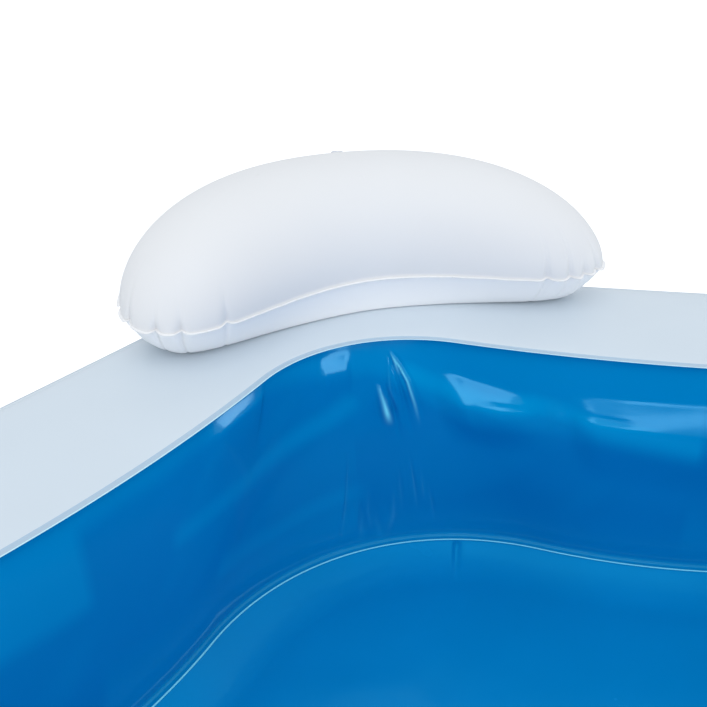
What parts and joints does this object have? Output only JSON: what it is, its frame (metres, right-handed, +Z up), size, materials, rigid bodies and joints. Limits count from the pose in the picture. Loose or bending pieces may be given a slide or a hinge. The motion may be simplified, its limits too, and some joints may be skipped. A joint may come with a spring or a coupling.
{
  "type": "inflatable paddling pool",
  "caption": "Six-sided family paddling pool with wide flat-topped inflated walls, a soft floor, bean-shaped headrests at opposite corners, a screw valve and a floor drain.",
  "frame": {"origin": "middle of the pool's plan on the ground, under the floor", "axes": "+Z up; +Y and -Y towards the two corners with headrests; +X and -X towards two flat sides; the seen headrest is at +Y"},
  "size_m": [2.751, 3.3688, 0.7125],
  "materials": {
    "pale_top_vinyl": "satin vinyl film, printed pale blue-grey",
    "blue_wall_vinyl": "glossy blue vinyl film",
    "blue_floor_vinyl": "glossy mid-blue vinyl film",
    "clear_web_vinyl": "plain translucent vinyl film, inside the walls",
    "white_headrest_vinyl": "satin lavender-white vinyl film",
    "white_valve_plastic": "moulded soft white plastic",
    "flap_rubber": "thin grey rubber"
  },
  "bodies": {
    "pool": {"base_sheet": "blue_wall_vinyl", "floor_sheet": "blue_floor_vinyl", "inner_wall": "blue_wall_vinyl", "outer_wall": "blue_wall_vinyl", "top_sheet": "pale_top_vinyl", "corner_web_1": "clear_web_vinyl", "corner_web_2": "clear_web_vinyl", "corner_web_3": "clear_web_vinyl", "corner_web_4": "clear_web_vinyl", "corner_web_5": "clear_web_vinyl", "corner_web_6": "clear_web_vinyl", "headrest_bottom_1": "white_headrest_vinyl", "headrest_top_1": "white_headrest_vinyl", "headrest_bottom_2": "white_headrest_vinyl", "headrest_top_2": "white_headrest_vinyl", "headrest_valve_1": "white_valve_plastic", "headrest_valve_2": "white_valve_plastic", "wall_valve_base": "white_valve_plastic", "wall_valve_tether": "white_valve_plastic", "drain_seat": "white_valve_plastic"},
    "wall_valve_plug": {"wall_valve_plug": "white_valve_plastic"},
    "wall_valve_flap": {"wall_valve_flap": "flap_rubber"},
    "wall_valve_cap": {"wall_valve_cap": "white_valve_plastic"},
    "headrest_stopper_1": {"headrest_stopper_1": "white_valve_plastic"},
    "headrest_stopper_2": {"headrest_stopper_2": "white_valve_plastic"},
    "drain_plug": {"drain_plug": "white_valve_plastic"}
  },
  "joints": [
    {"name": "plug_unscrews", "type": "hinge", "parent": "pool", "child": "wall_valve_plug", "pos_m": [0.68461, -1.18578, 0.23], "axis": [0.5, -0.866, 0], "range_deg": [0, 270]},
    {"name": "flap_opens", "type": "hinge", "parent": "wall_valve_plug", "child": "wall_valve_flap", "pos_m": [0.68071, -1.17902, 0.2432], "axis": [0.866, 0.5, 0], "range_deg": [0, 40]},
    {"name": "cap_pulls_off", "type": "slide", "parent": "wall_valve_plug", "child": "wall_valve_cap", "axis": [0.5, -0.866, 0], "range_m": [0, 0.012]},
    {"name": "stopper_1_pulls_out", "type": "slide", "parent": "pool", "child": "headrest_stopper_1", "axis": [0.0482, 0.5364, 0.8426], "range_m": [0, 0.014]},
    {"name": "stopper_2_pulls_out", "type": "slide", "parent": "pool", "child": "headrest_stopper_2", "axis": [-0.0482, -0.5364, 0.8426], "range_m": [0, 0.014]},
    {"name": "drain_plug_lifts", "type": "slide", "parent": "pool", "child": "drain_plug", "axis": [0, 0, 1], "range_m": [0, 0.02]}
  ]
}
